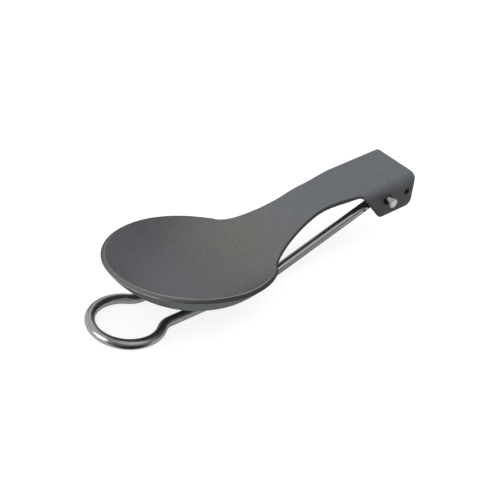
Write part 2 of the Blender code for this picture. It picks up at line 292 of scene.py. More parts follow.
# Surroundings. A panel is a direction, the angles in degrees where it is full and where it ends,
# and a level. Reflections see the room panels, and the object's diffuse light is the soft panels.
WHITE = (1, 1, 1, 1)
# Near black serves the floor's dark place and the painted shade on the wire
NEAR_BLACK = (0.02, 0.02, 0.02, 1)
ROOM_LEVEL = 0.12
ROOM_PANELS = [
    ((-0.43, 0.75, 0.5), 35, 50, 0.38),
    ((-0.88, 0.27, 0.36), 18, 22, 2.2),
    ((-0.13, -0.48, 0.87), 18, 45, 0.33),
    ((0.26, -0.72, 0.64), 12, 40, 0.1),
    ((0.60, 0.54, 0.59), 16, 24, 0.45),
]
SOFT_PANELS = [
    ((-1.0, 0.0, 0.3), 10, 90, 1.65),
    ((0.6, 0.0, 0.8), 5, 55, 1.95),
    ((-0.6, 0.0, 0.8), 5, 55, 0.3),
    ((1.0, 0.0, 0.3), 5, 45, 0.6),
    ((-1.0, 0.0, 0.08), 3, 30, 2.5),
]

# Floor, and the dark and the grey place on it that only reflections see
FLOOR_REACH = 6.0
FLOOR_DROP = 0.02 * MM
FLOOR_ROUGHNESS = 0.9
FLOOR_GREY = (0.34, 0.34, 0.34, 1)
FLOOR_SEEN_GREY = (0.24, 0.24, 0.24, 1)
FLOOR_GLOW = 0.83
FLOOR_MIRRORED_GLOW = 0.2
DARK_PLACE = Vector((-63.5, -34.5, 0)) * MM
DARK_FULL = 28.5 * MM
DARK_END = 31.5 * MM
GREY_PLACE = Vector((24, -24, 0)) * MM
GREY_FULL = 22 * MM
GREY_END = 36 * MM
GREY_SHARE = 0.55


def clamped(value):
    """The value, kept between 0 and 1."""
    return min(max(value, 0), 1)


def eased(share):
    """Smooth step of a share between 0 and 1."""
    return share * share * (3 - 2 * share)


def fillet_reaches(corners, radii):
    """How far each inner corner's arc reaches along its two runs, within the room they have."""
    reaches = [0]
    for before, corner, after, radius in zip(corners, corners[1:], corners[2:], radii):
        reaches.append(radius / math.tan((before - corner).angle(after - corner) / 2))
    reaches.append(0)
    for i, (low, high) in enumerate(zip(corners, corners[1:])):
        wanted = reaches[i] + reaches[i + 1]
        room = (high - low).length * FILLET_ROOM_SHARE
        if wanted > room:
            reaches[i] *= room / wanted
            reaches[i + 1] *= room / wanted
    return reaches[1:-1]


def rounded_path(corners, radii):
    """Straight runs between the corners, with a tangent arc at each inner corner."""
    path = [corners[0]]
    reaches = fillet_reaches(corners, radii)
    for before, corner, after, reach in zip(corners, corners[1:], corners[2:], reaches):
        back = (before - corner).normalized()
        ahead = (after - corner).normalized()
        opening = back.angle(ahead)
        centre = corner + (back + ahead).normalized() * reach / math.cos(opening / 2)
        first = corner + back * reach - centre
        last = corner + ahead * reach - centre
        turn = math.pi - opening
        steps = max(3, math.ceil(turn / ARC_STEP))
        for step in range(steps + 1):
            part = turn * step / steps
            spoke = first * math.sin(turn - part) + last * math.sin(part)
            path.append(centre + spoke / math.sin(turn))
    path.append(corners[-1])
    return path


def bezier(start, start_handle, end_handle, end, steps):
    """Points along one cubic curve, without its first point."""
    points = []
    for step in range(1, steps + 1):
        t = step / steps
        s = 1 - t
        point = start * s ** 3 + start_handle * 3 * s * s * t
        points.append(point + end_handle * 3 * s * t * t + end * t ** 3)
    return points


def read_off(path, x):
    """Second coordinate at x of a path that runs towards rising x."""
    index = min(max(bisect.bisect_right([point.x for point in path], x), 1), len(path) - 1)
    low, high = path[index - 1], path[index]
    share = (x - low.x) / (high.x - low.x)
    return low.y + (high.y - low.y) * clamped(share)


def fold_start():
    """Half width of the flat top plate."""
    return CHANNEL_WIDTH / 2 - FOLD_RADIUS


def fold_end():
    """Way round the sheet from the middle line to the flat side of a flange."""
    return fold_start() + FOLD_RADIUS * math.pi / 2


def flange_edge():
    """Way round the sheet from the middle line to a flange's lower edge."""
    return fold_end() + CHANNEL_DEPTH - FOLD_RADIUS


def notch_side():
    """Way round the sheet from the middle line to the notch in front of a flange."""
    return fold_start() + NOTCH_OUTSET


def blank_outline():
    """Half width of the unfolded sheet along x, from the bowl's tip to the rear end."""
    half = BOWL_WIDTH / 2
    outline = []
    for step in range(TIP_STEPS + 1):
        turn = math.pi / 2 * step / TIP_STEPS
        ahead = BOWL_FRONT_LENGTH * math.cos(turn)
        outline.append(Vector((-WIDEST_SETBACK - ahead, half * math.sin(turn))))
    widest = outline[-1]
    shoulder = Vector((-SHOULDER_SETBACK, SHOULDER_HALF_WIDTH))
    fall = Vector((1, -SHOULDER_SLOPE_SHARE)).normalized()
    neck = Vector((-NECK_SETBACK, NECK_WIDTH / 2))
    along = Vector((1, 0))
    fall_start = shoulder - fall * SHOULDER_END_PULL
    fall_end = shoulder + fall * SHOULDER_START_PULL
    outline += bezier(widest, widest + along * BOWL_BACK_PULL, fall_start, shoulder, BOWL_STEPS)
    outline += bezier(shoulder, fall_end, neck - along * NECK_PULL, neck, SHOULDER_STEPS)
    corners = [
        neck,
        Vector((-FLARE_SETBACK, NECK_WIDTH / 2)),
        Vector((-FLANGE_TOP_SETBACK, notch_side())),
        Vector((-FLANGE_FOOT_LENGTH, flange_edge())),
        Vector((0, flange_edge())),
        Vector((0, flange_edge() - REAR_CORNER_RADIUS)),
    ]
    radii = [FLARE_RADIUS, NOTCH_RADIUS, FRONT_CORNER_RADIUS, REAR_CORNER_RADIUS]
    outline += rounded_path(corners, radii)[1:-1]
    return outline


def split_long_steps(outline):
    """The outline with extra stations where two lie far apart."""
    result = [outline[0]]
    for low, high in zip(outline, outline[1:]):
        longest = PLATE_STEP if high.x > -FLANGE_FOOT_LENGTH else NECK_STEP
        pieces = 1 if low.x < -NECK_SETBACK else max(1, math.ceil((high.x - low.x) / longest))
        for piece in range(1, pieces + 1):
            result.append(low.lerp(high, piece / pieces))
    return result


def side_profile():
    """Height of the rim, neck and top plate along x."""
    crank = FLANGE_TOP_SETBACK + PLATE_OVERHANG
    corners = [
        Vector((-HEAD_LENGTH, TIP_RISE)),
        Vector((-crank - CRANK_LENGTH, -DIP_DROP)),
        Vector((-crank, 0)),
        Vector((0, 0)),
    ]
    return rounded_path(corners, [DIP_RADIUS, CRANK_RADIUS])


def hollow(x, side, half):
    """Depth of the bowl below its rim at x, at a distance side from the middle line."""
    if x < -WIDEST_SETBACK:
        out = (-WIDEST_SETBACK - x) / BOWL_FRONT_LENGTH
        across = side / (BOWL_WIDTH / 2)
        return BOWL_DEPTH * max(0, 1 - math.hypot(out, across) ** WALL_POWER)
    climb = min(1, (x + WIDEST_SETBACK) / RAMP_LENGTH)
    return BOWL_DEPTH * (1 - eased(climb)) * (1 - (side / half) ** WALL_POWER)


def folded(side):
    """Distance out and drop of a point that lies side away round the folded sheet."""
    if side <= fold_start():
        return side, 0
    if side >= fold_end():
        return CHANNEL_WIDTH / 2, FOLD_RADIUS + side - fold_end()
    turn = (side - fold_start()) / FOLD_RADIUS
    return fold_start() + FOLD_RADIUS * math.sin(turn), FOLD_RADIUS * (1 - math.cos(turn))


def column_sides(x, half):
    """Places of the columns of points from the middle line out to the sheet's edge."""
    flat, fold = half * FLAT_SHARE, half * FOLD_SHARE
    if x > -FLARE_SETBACK:
        room = half - notch_side()
        settled = clamped(room / (fold_end() + EDGE_ROUND - fold_start()))
        flat += (fold_start() - flat) * settled
        fold += (fold_end() - fold) * settled
    sides = [flat * i / FLAT_COLUMNS for i in range(FLAT_COLUMNS)]
    sides += [flat + (fold - flat) * i / FOLD_COLUMNS for i in range(FOLD_COLUMNS)]
    sides += [fold + (half - fold) * i / FLANGE_COLUMNS for i in range(FLANGE_COLUMNS + 1)]
    return sides


def head_rows():
    """Upper face of the head as rows of points, one row for each station along x."""
    profile = side_profile()
    rows = []
    for x, half in split_long_steps(blank_outline()):
        height = read_off(profile, x)
        right = []
        for side in column_sides(x, half):
            out, drop = folded(side) if x > -FLARE_SETBACK else (side, hollow(x, side, half))
            right.append(Vector((x, out, height - drop)))
        left = [Vector((point.x, -point.y, point.z)) for point in reversed(right[1:])]
        rows.append(left + right)
    return rows


def rim_profile():
    """Drop below the upper face, and way out, round the sheet's cut edge."""
    profile = []
    for step in range(1, EDGE_STEPS + 1):
        turn = math.pi / 2 * step / EDGE_STEPS
        profile.append((EDGE_ROUND * (1 - math.cos(turn)), EDGE_ROUND * math.sin(turn)))
    return profile + [(SHEET - down, out) for down, out in reversed(profile)]


def pressed_sheet():
    """Closed sheet below the rows of points, with a rounded cut edge all round."""
    rows = head_rows()
    bm = bmesh.new()
    cut_mark = bm.verts.layers.float.new("cut")
    depth_mark = bm.verts.layers.float.new("depth")
    corner_mark = bm.verts.layers.float.new("corner")
    lip_mark = bm.verts.layers.float.new("lip")
    under_mark = bm.verts.layers.float.new("under")
    tip = bm.verts.new(rows[0][0])
    lines = [[bm.verts.new(point) for point in row] for row in rows[1:]]
    for left, right in zip(lines[0], lines[0][1:]):
        bm.faces.new((tip, left, right))
    for low, high in zip(lines, lines[1:]):
        for i in range(len(low) - 1):
            bm.faces.new((low[i], high[i], high[i + 1], low[i + 1]))
    bm.normal_update()
    upper = list(bm.verts)
    lower = {vert: bm.verts.new(vert.co - vert.normal * SHEET) for vert in upper}
    for vert in lower.values():
        vert[under_mark] = 1
    for face in list(bm.faces):
        bm.faces.new([lower[vert] for vert in reversed(face.verts)])
    ring = [tip] + [line[-1] for line in lines[:-1]]
    ring += lines[-1][::-1] + [line[0] for line in lines[-2::-1]]
    middle = {line[-1]: line[-2] for line in lines}
    middle.update({line[0]: line[1] for line in lines})
    middle.update(dict(zip(lines[-1][1:-1], lines[-2][1:-1])))
    middle[tip] = lines[0][len(lines[0]) // 2]
    loops = [ring]
    places = []
    for i, vert in enumerate(ring):
        tangent = ring[(i + 1) % len(ring)].co - ring[i - 1].co
        out = tangent.cross(vert.normal).normalized()
        if out.dot(vert.co - middle[vert].co) < 0:
            out.negate()
        places.append((vert.co.copy(), vert.normal.copy(), out))
    # Shares of the painted highlights on the rings next to the upper face (corner) and the lower
    # face (lip)
    highlight = list(CORNER_HIGHLIGHT_SHARES) + [0] * (2 * EDGE_STEPS - len(CORNER_HIGHLIGHT_SHARES))
    for (down, way), corner, lip in zip(rim_profile(), highlight, reversed(highlight)):
        loop = []
        for place, normal, out in places:
            vert = bm.verts.new(place - normal * down + out * way)
            vert[cut_mark] = 1
            vert[depth_mark] = down / SHEET
            vert[corner_mark] = corner
            vert[lip_mark] = lip
            loop.append(vert)
        loops.append(loop)
    loops.append([lower[vert] for vert in ring])
    for high, low in zip(loops, loops[1:]):
        for i in range(len(ring)):
            j = (i + 1) % len(ring)
            bm.faces.new((high[i], low[i], low[j], high[j]))
    bmesh.ops.recalc_face_normals(bm, faces=bm.faces[:])
    return bm


def join_rings(bm, rings):
    """Bands of faces between closed rings of equally many points."""
    for low, high in zip(rings, rings[1:]):
        for i in range(len(low)):
            j = (i + 1) % len(low)
            bm.faces.new((low[i], low[j], high[j], high[i]))


def lathe_across(profile, x, z):
    """Closed turned shape about a line across the channel."""
    bm = bmesh.new()
    rings = []
    for place, radius in profile:
        ring = []
        for side in range(HOLE_SIDES):
            turn = 2 * math.pi * side / HOLE_SIDES
            point = (x + radius * math.cos(turn), place, z + radius * math.sin(turn))
            ring.append(bm.verts.new(point))
        rings.append(ring)
    join_rings(bm, rings)
    bm.faces.new(rings[0])
    bm.faces.new(rings[-1][::-1])
    bmesh.ops.recalc_face_normals(bm, faces=bm.faces[:])
    return bm


def hole_profile(radius):
    """Bore through one flange with a broken edge at both mouths, as places across and radii."""
    half = CHANNEL_WIDTH / 2
    return [
        (half - SHEET - OVERRUN, radius + OVERRUN + HOLE_EDGE),
        (half - SHEET + HOLE_EDGE, radius),
        (half - HOLE_EDGE, radius),
        (half + OVERRUN, radius + OVERRUN + HOLE_EDGE),
    ]


pivot = Vector(frame["joints"][0]["pos_m"])
TILT = Matrix.Rotation(-RUN_RISE_ANGLE, 4, "Y")
STAND = Matrix.Translation(pivot) @ TILT @ Matrix.Translation(-PIVOT_PLACE)


def add_mesh_object(name, bm, finish):
    """New object that holds the shape, set on the pivot and tilted as the spoon lies."""
    bmesh.ops.transform(bm, matrix=STAND, verts=bm.verts[:])
    mesh = bpy.data.meshes.new(name)
    bm.to_mesh(mesh)
    bm.free()
    if finish:
        mesh.materials.append(finish)
    obj = bpy.data.objects.new(name, mesh)
    bpy.context.collection.objects.link(obj)
    return obj


def cut(obj, tools):
    """Takes the tool shapes out of the object and removes them."""
    for tool in tools:
        modifier = obj.modifiers.new(tool.name, "BOOLEAN")
        modifier.operation = "DIFFERENCE"
        modifier.solver = "EXACT"
        modifier.object = tool
    graph = bpy.context.evaluated_depsgraph_get()
    mesh = bpy.data.meshes.new_from_object(obj.evaluated_get(graph))
    obj.modifiers.clear()
    obj.data = mesh
    for tool in tools:
        bpy.data.objects.remove(tool)


def smooth(obj):
    """Smooth shading with sharp corners kept, and flat faces kept flat."""
    obj.data.shade_smooth()
    obj.data.set_sharp_from_angle(angle=SHARP_ANGLE)
    modifier = obj.modifiers.new("even_normals", "WEIGHTED_NORMAL")
    modifier.keep_sharp = True
    modifier.weight = NORMAL_WEIGHT


def mark_bores(head):
    """Marks the points on the walls of the holes, which get painted shade."""
    axes = []
    for setback, radius in HOLES.values():
        axes.append((STAND @ Vector((-setback, 0, -PIVOT_DROP)), radius))
    mark = head.data.attributes.new("bore", "FLOAT", "POINT")
    for vertex in head.data.vertices:
        for place, radius in axes:
            if math.hypot(vertex.co.x - place.x, vertex.co.z - place.z) < radius + HOLE_EDGE / 2:
                mark.data[vertex.index].value = 1


def add_head(finish):
    """Pressed head with its pivot and catch holes."""
    head = add_mesh_object("pressed_head", pressed_sheet(), finish)
    tools = []
    for name, (setback, radius) in HOLES.items():
        for side in (-1, 1):
            profile = [(side * place, wide) for place, wide in hole_profile(radius)]
            bm = lathe_across(profile, -setback, -PIVOT_DROP)
            tools.append(add_mesh_object("%s_%d" % (name, side), bm, None))
    cut(head, tools)
    mark_bores(head)
    smooth(head)
    return head


def leg_half_gap():
    """Distance from the middle line to a leg's centre line at the pivot."""
    return CHANNEL_WIDTH / 2 - SHEET - NUB_CLEARANCE - NUB_HEIGHT - WIRE_DIAMETER / 2


def leg_drop_angle():
    """Slope of the folded legs that takes their lower ends down to the table."""
    return math.asin((pivot.z - WIRE_DIAMETER / 2) / LEG_LENGTH) - RUN_RISE_ANGLE


def leg_direction():
    """Way of the folded legs from the pivot down to the table."""
    slope = leg_drop_angle()
    return Vector((-math.cos(slope), 0, -math.sin(slope)))


def nub_place():
    """Middle of the catch nubs, on the middle plane between the legs."""
    return PIVOT_PLACE + leg_direction() * CATCH_SPACING


def pin_profile():
    """Places and radii along a pivot pin, from the middle of its peened end to its bend."""
    end = CHANNEL_WIDTH / 2 + PIN_STAND_OUT
    neck = PIN_NECK_DIAMETER / 2
    head = neck + PIN_HEAD_RIM
    inner = leg_half_gap() + PIN_BEND_RADIUS
    profile = []
    for step in range(1, PIN_FACE_STEPS + 1):
        turn = math.pi / 2 * step / PIN_FACE_STEPS
        place = end - PIN_FACE_CROWN * math.sin(turn) ** 2
        profile.append((place, (head - EDGE_ROUND) * math.sin(turn)))
    face_edge = end - PIN_FACE_CROWN
    for step in range(1, EDGE_STEPS + 1):
        turn = math.pi / 2 * step / EDGE_STEPS
        place = face_edge - EDGE_ROUND * (1 - math.cos(turn))
        profile.append((place, head - EDGE_ROUND * (1 - math.sin(turn))))
    shoulder = end - PIN_HEAD_LENGTH
    profile.append((shoulder, head))
    for step in range(1, PIN_FLARE_STEPS + 1):
        share = step / PIN_FLARE_STEPS
        profile.append((shoulder - PIN_FLARE_LENGTH * share, head + (neck - head) * eased(share)))
    waist = shoulder - PIN_FLARE_LENGTH
    for step in range(1, PIN_NECK_STEPS + 1):
        profile.append((waist + (inner + EDGE_ROUND - waist) * step / PIN_NECK_STEPS, neck))
    return profile


def handle_route():
    """Centre line and radius of one half of the wire, from its pin to the loop's far end."""
    gap = leg_half_gap()
    run = Vector((-math.cos(RUN_RISE_ANGLE), 0, math.sin(RUN_RISE_ANGLE)))
    out = Vector((0, 1, 0))
    belly = PIVOT_PLACE + leg_direction() * LEG_LENGTH
    loop_centre = belly + run * LOOP_REACH
    far_gap = gap + LEG_SPREAD
    s_reach = math.sqrt((LOOP_RADIUS + S_BEND_RADIUS) ** 2 - (far_gap + S_BEND_RADIUS) ** 2)
    s_start = loop_centre - run * s_reach + out * far_gap
    belly_gap = gap + LEG_SPREAD * LEG_LENGTH / (LEG_LENGTH + LOOP_REACH - s_reach)
    pins = pin_profile()
    pin_end, pin_radius = pins[-1]
    corners = [
        PIVOT_PLACE + out * pin_end,
        PIVOT_PLACE + out * gap,
        belly + out * belly_gap,
        s_start,
    ]
    wire = WIRE_DIAMETER / 2
    points = []
    for i, point in enumerate(rounded_path(corners, [PIN_BEND_RADIUS, BELLY_RADIUS])[:-1]):
        share = min(1, i / PIN_BEND_STEPS)
        points.append((point, pin_radius + (wire - pin_radius) * eased(share)))
    lean = math.atan2(far_gap + S_BEND_RADIUS, s_reach)
    s_centre = s_start + out * S_BEND_RADIUS
    s_turn = math.pi / 2 - lean
    s_steps = math.ceil(s_turn / ARC_STEP) + 1
    for step in range(s_steps):
        turn = s_turn * step / s_steps
        spoke = run * math.sin(turn) - out * math.cos(turn)
        points.append((s_centre + spoke * S_BEND_RADIUS, wire))
    for step in range(LOOP_STEPS + 1):
        turn = math.pi - lean - (math.pi - lean) * step / LOOP_STEPS
        spoke = run * math.cos(turn) + out * math.sin(turn)
        points.append((loop_centre + spoke * LOOP_RADIUS, wire))
    route = [(PIVOT_PLACE + out * place, radius) for place, radius in pins[:-1]]
    route.append(points[0])
    nub = nub_place() + out * gap
    for (low, low_radius), (high, high_radius) in zip(points, points[1:]):
        pieces = max(1, math.ceil((high - low).length / WIRE_STEP))
        for piece in range(pieces):
            middle = low.lerp(high, (piece + 0.5) / pieces)
            parts = NUB_PARTS if (middle - nub).length < NUB_DIAMETER else 1
            for part in range(1, parts + 1):
                share = (piece + part / parts) / pieces
                radius = low_radius + (high_radius - low_radius) * share
                route.append((low.lerp(high, share), radius))
    return route


def wire_shade(co, point, spoke, rings_in, nub_middle):
    """Share of painted shade on a point of the wire: in its hole, on a nub's middle, and on and
    under a pin.
    """
    flange = CHANNEL_WIDTH / 2
    off_pivot = math.hypot(co.x + PIVOT_SETBACK, co.z + PIVOT_DROP)
    at_pin = off_pivot < 2 * PIN_BEND_RADIUS
    # Painted shade on the wire inside the holes and on the nubs' middles
    if nub_middle or (at_pin and leg_half_gap() + SHEET / 2 < abs(co.y) < flange):
        return 1
    # Painted shade on part of a pin's rim
    if PIN_FACE_STEPS <= rings_in < PIN_FACE_STEPS + EDGE_STEPS:
        return PIN_RIM_SHADE * clamped(spoke.z - spoke.x)
    # Painted shade under a pin's flank, fading out from the flange
    if at_pin and abs(point.y) > flange:
        below = spoke.dot(PIN_SHADE_WAY)
        near = 1 - (abs(point.y) - flange) / (PIN_STAND_OUT - PIN_HEAD_LENGTH)
        return clamped(PIN_SHADE_GAIN * below + near) * clamped(PIN_SHADE_FADE_GAIN * near)
    return 0


def swept_wire():
    """Closed round sweep along the whole wire, with its way along and round kept on the points."""
    route = handle_route()
    for point, radius in reversed(route[:-1]):
        route.append((Vector((point.x, -point.y, point.z)), radius))
    points = [point for point, radius in route]
    bm = bmesh.new()
    place_mark = bm.verts.layers.float_vector.new("wire_place")
    pin_mark = bm.verts.layers.float.new("pin")
    # Painted shade on the wire, kept on its points
    shade_mark = bm.verts.layers.float.new("dark")
    flange = CHANNEL_WIDTH / 2
    wire = WIRE_DIAMETER / 2
    nub = nub_place()
    pin_rings = len(pin_profile())
    side = Vector((0, 0, 1))
    rings = []
    travelled = 0
    for i, (point, radius) in enumerate(route):
        if i:
            travelled += (point - points[i - 1]).length
        tangent = (points[min(i + 1, len(points) - 1)] - points[max(i - 1, 0)]).normalized()
        side = (side - tangent * side.dot(tangent)).normalized()
        across = tangent.cross(side)
        rings_in = min(i, len(route) - 1 - i)
        out = abs(point.y)
        ring = []
        for k in range(WIRE_SIDES):
            turn = 2 * math.pi * k / WIRE_SIDES
            spoke = side * math.cos(turn) + across * math.sin(turn)
            co = point + spoke * radius
            off = Vector((co.x - nub.x, 0, co.z - nub.z)).length / (NUB_DIAMETER / 2)
            on_nub = off < 1 and spoke.y * point.y > 0 and out < flange - SHEET
            if on_nub:
                dome = NUB_HEIGHT * (1 - off * off) ** 2
                co += Vector((0, math.copysign(dome, point.y), 0))
            vert = bm.verts.new(co)
            vert[place_mark] = Vector((travelled, wire * math.cos(turn), wire * math.sin(turn)))
            vert[shade_mark] = wire_shade(co, point, spoke, rings_in, on_nub and off < NUB_SHADE_SHARE)
            if rings_in < pin_rings and out > flange:
                at_head = out > flange + PIN_STAND_OUT - PIN_HEAD_LENGTH / 2
                vert[pin_mark] = 1 if at_head else PIN_FLANK_MARK
            ring.append(vert)
        rings.append(ring)
    join_rings(bm, rings)
    for ring, centre in ((rings[0], points[0]), (rings[-1], points[-1])):
        middle = bm.verts.new(centre)
        middle[pin_mark] = 1
        for i in range(WIRE_SIDES):
            bm.faces.new((middle, ring[i], ring[(i + 1) % WIRE_SIDES]))
    bmesh.ops.recalc_face_normals(bm, faces=bm.faces[:])
    return bm


def add_handle(finish):
    """Bent wire with its peened pins and its catch nubs."""
    handle = add_mesh_object("bent_wire", swept_wire(), finish)
    smooth(handle)
    return handle


class Nodes:
    """Short hand for one node tree."""

    def __init__(self, tree):
        self.tree = tree

    def add(self, kind, **values):
        node = self.tree.nodes.new(kind)
        for key, value in values.items():
            setattr(node, key, value)
        return node

    def join(self, source, target):
        self.tree.links.new(source, target)

    def feed(self, node, values):
        """Sets the inputs that the keys name or number, by a link where the value is a socket."""
        for key, value in values.items():
            if isinstance(value, bpy.types.NodeSocket):
                self.join(value, node.inputs[key])
            else:
                node.inputs[key].default_value = value
        return node

    def attribute(self, name, output="Fac"):
        return self.add("ShaderNodeAttribute", attribute_name=name).outputs[output]

    def noise(self, vector, scale, detail, roughness=0.5):
        values = {"Vector": vector, "Scale": scale, "Detail": detail, "Roughness": roughness}
        return self.feed(self.add("ShaderNodeTexNoise"), values).outputs["Fac"]

    def ramp(self, value, low, high, out_low=0.0, out_high=1.0):
        node = self.add("ShaderNodeMapRange", interpolation_type="SMOOTHSTEP")
        values = {"Value": value, "From Min": low, "From Max": high}
        values.update({"To Min": out_low, "To Max": out_high})
        return self.feed(node, values).outputs["Result"]

    def maths(self, operation, first, second=0.0):
        node = self.add("ShaderNodeMath", operation=operation)
        return self.feed(node, {0: first, 1: second}).outputs[0]

    def product(self, first, *others):
        for other in others:
            first = self.maths("MULTIPLY", first, other)
        return first

    def total(self, first, *others):
        for other in others:
            first = self.maths("ADD", first, other)
        return first

    def mix(self, factor, first, second):
        """Mix of two colours, whose sockets have the numbers 6, 7 and, going out, 2."""
        node = self.add("ShaderNodeMix", data_type="RGBA")
        return self.feed(node, {0: factor, 6: first, 7: second}).outputs[2]

    def vector_maths(self, operation, vector, value, output):
        node = self.add("ShaderNodeVectorMath", operation=operation)
        return self.feed(node, {0: vector, 1: value}).outputs[output]

    def stretched(self, vector, scale):
        return self.vector_maths("MULTIPLY", vector, scale, "Vector")

    def distance(self, vector, place):
        return self.vector_maths("DISTANCE", vector, place, "Value")

    def bump(self, height, strength, distance):
        values = {"Height": height, "Strength": strength, "Distance": distance}
        return self.feed(self.add("ShaderNodeBump"), values).outputs[0]

    def ray_kinds(self):
        """Whether a ray comes from the camera, also through glass, and whether it is mirrored."""
        path = self.add("ShaderNodeLightPath").outputs
        seen = self.maths("MAXIMUM", path["Is Camera Ray"], path["Is Transmission Ray"])
        return seen, path["Is Glossy Ray"]


def new_material(name):
    material = bpy.data.materials.new(name)
    material.use_nodes = True
    return material, Nodes(material.node_tree), material.node_tree.nodes["Principled BSDF"]


def head_tint(nodes, place, drift):
    """Violet, olive and blue greys of the head, with painted shade on the flanges, and painted shade
    and painted sheen on the underside.
    """
    apart = nodes.add("ShaderNodeSeparateXYZ")
    nodes.join(place, apart.inputs[0])
    x, y, z = apart.outputs
    wander = nodes.product(drift, GREEN_WANDER)
    from_green = nodes.total(nodes.distance(place, GREEN_PLACE), wander)
    green = nodes.ramp(from_green, GREEN_FULL, GREEN_END, 1.0, 0.0)
    blue = nodes.ramp(nodes.total(x, wander), BLUE_START, BLUE_FULL)
    tint = nodes.mix(green, VIOLET_GREY, GREEN_GREY)
    tint = nodes.mix(blue, tint, BLUE_GREY)
    # Painted shade on the flanges' sides
    below = nodes.ramp(z, FLANGE_FULL, FLANGE_START, 1.0, 0.0)
    flange = nodes.product(below, nodes.ramp(x, FLANGE_FRONT, FLANGE_BACK))
    tint = nodes.mix(flange, tint, FLANGE_SHADE)
    # Painted shade under the middle and under the neck and plate, and a painted sheen on the
    # underside towards its sides
    sheen_share = nodes.ramp(nodes.maths("ABSOLUTE", y), UNDER_SHADE_END, UNDER_SHEEN_FULL)
    sheen_share = nodes.product(sheen_share, nodes.ramp(x, NECK_SHADE_START, NECK_SHADE_FULL, 1.0, 0.0))
    under = nodes.mix(sheen_share, UNDER_SHADE, UNDER_SHEEN)
    return nodes.mix(nodes.attribute("under"), tint, under)


def head_edges(nodes, place, cloud, colour):
    """The colour with the sheet's cut edge in painted light and shade, and painted highlights along
    the rim's corners and at the tip.
    """
    apart = nodes.add("ShaderNodeSeparateXYZ")
    nodes.join(place, apart.inputs[0])
    x, y, z = apart.outputs
    from_tip = nodes.total(x, nodes.product(nodes.maths("MINIMUM", y, 0.0), TIP_LEAN))
    leaned = nodes.total(from_tip, nodes.product(nodes.attribute("depth"), PALE_LEAN))
    # The cut edge: painted light near the tip, painted shade further back
    pale = nodes.ramp(leaned, PALE_FULL, PALE_START, 1.0, 0.0)
    pale_cut = nodes.mix(nodes.ramp(y, FAR_START, FAR_FULL), CUT_LIT, CUT_FAR_LIT)
    cut_colour = nodes.mix(pale, CUT_SHADE, pale_cut)
    colour = nodes.mix(nodes.product(nodes.attribute("cut"), CUT_COVER), colour, cut_colour)
    # Painted highlight on the rim's inner corner, strongest on the near side and fading towards the
    # neck
    near = nodes.ramp(y, HIGHLIGHT_NEAR_FULL, HIGHLIGHT_NEAR_END, 1.0, FAR_HIGHLIGHT)
    ahead = nodes.ramp(x, HIGHLIGHT_FADE_START, HIGHLIGHT_FADE_END, 1.0, NECK_HIGHLIGHT)
    at_tip = nodes.ramp(from_tip, LIP_FULL, LIP_START, 1.0, 0.0)
    highlight_tip_fade = nodes.maths("SUBTRACT", 1.0, nodes.product(at_tip, TIP_HIGHLIGHT_DROP))
    patchy = nodes.ramp(cloud, *PATCH_RANGE, *PATCH_SHARES)
    highlight = nodes.product(nodes.attribute("corner"), near, ahead, highlight_tip_fade, patchy)
    colour = nodes.mix(highlight, colour, CORNER_HIGHLIGHT_GREY)
    # Painted highlight along the rim's lower corner at the tip
    lip_patchy = nodes.ramp(cloud, *LIP_PATCH_RANGE, *LIP_PATCH_SHARES)
    return nodes.mix(nodes.product(nodes.attribute("lip"), at_tip, lip_patchy), colour, LIP_HIGHLIGHT_GREY)


def anodised():
    """Hard-anodised aluminium: dark satin grey, with a blasted grain and drifting tints, and with
    painted shade, shadow, sheen and highlights.
    """
    material, nodes, shader = new_material("anodised_aluminium")
    place = nodes.add("ShaderNodeTexCoord").outputs["Object"]
    drift = nodes.noise(place, DRIFT_SCALE, 2.0)
    cloud = nodes.noise(place, CLOUD_SCALE, 3.0)
    grain = nodes.noise(place, GRAIN_SCALE, 2.0, GRAIN_ROUGHNESS)
    speck = nodes.noise(place, SPECK_SCALE, 1.0)
    colour = head_tint(nodes, place, drift)
    colour = nodes.mix(nodes.ramp(cloud, *MOTTLE_RANGE, *MOTTLE_SHARES), colour, MOTTLE_GREY)
    colour = nodes.mix(nodes.ramp(grain, *GRAIN_RANGE, *GRAIN_SHARES), colour, GRAIN_GREY)
    colour = head_edges(nodes, place, cloud, colour)
    # Painted shadow on the flange round the pivot pin
    pin_shadow_place = (pivot.x - PIN_SHADOW_SHIFT, 0, pivot.z + PIN_SHADOW_SHIFT)
    from_pin = nodes.distance(nodes.stretched(place, (1.0, 0.0, 1.0)), pin_shadow_place)
    pin_shadow = nodes.ramp(from_pin, PIN_SHADOW_FULL, PIN_SHADOW_END, PIN_SHADOW_SHARE, 0.0)
    colour = nodes.mix(pin_shadow, colour, PIN_SHADOW_GREY)
    # Painted shade on the walls of the holes
    colour = nodes.mix(nodes.attribute("bore"), colour, BORE_SHADE)
    satin = nodes.ramp(cloud, *PATCH_RANGE, *HEAD_ROUGHNESS)
    rough = nodes.total(satin, nodes.ramp(grain, *ROUGH_RANGE, *HEAD_ROUGHENING))
    height = nodes.total(nodes.product(grain, GRAIN_HEIGHT), nodes.product(speck, SPECK_HEIGHT))
    bump = nodes.bump(height, HEAD_BUMP, HEAD_BUMP_DISTANCE)
    nodes.feed(shader, {"Base Color": colour, "Roughness": rough, "Metallic": HEAD_METALLIC})
    nodes.feed(shader, {"Normal": bump})
    return material


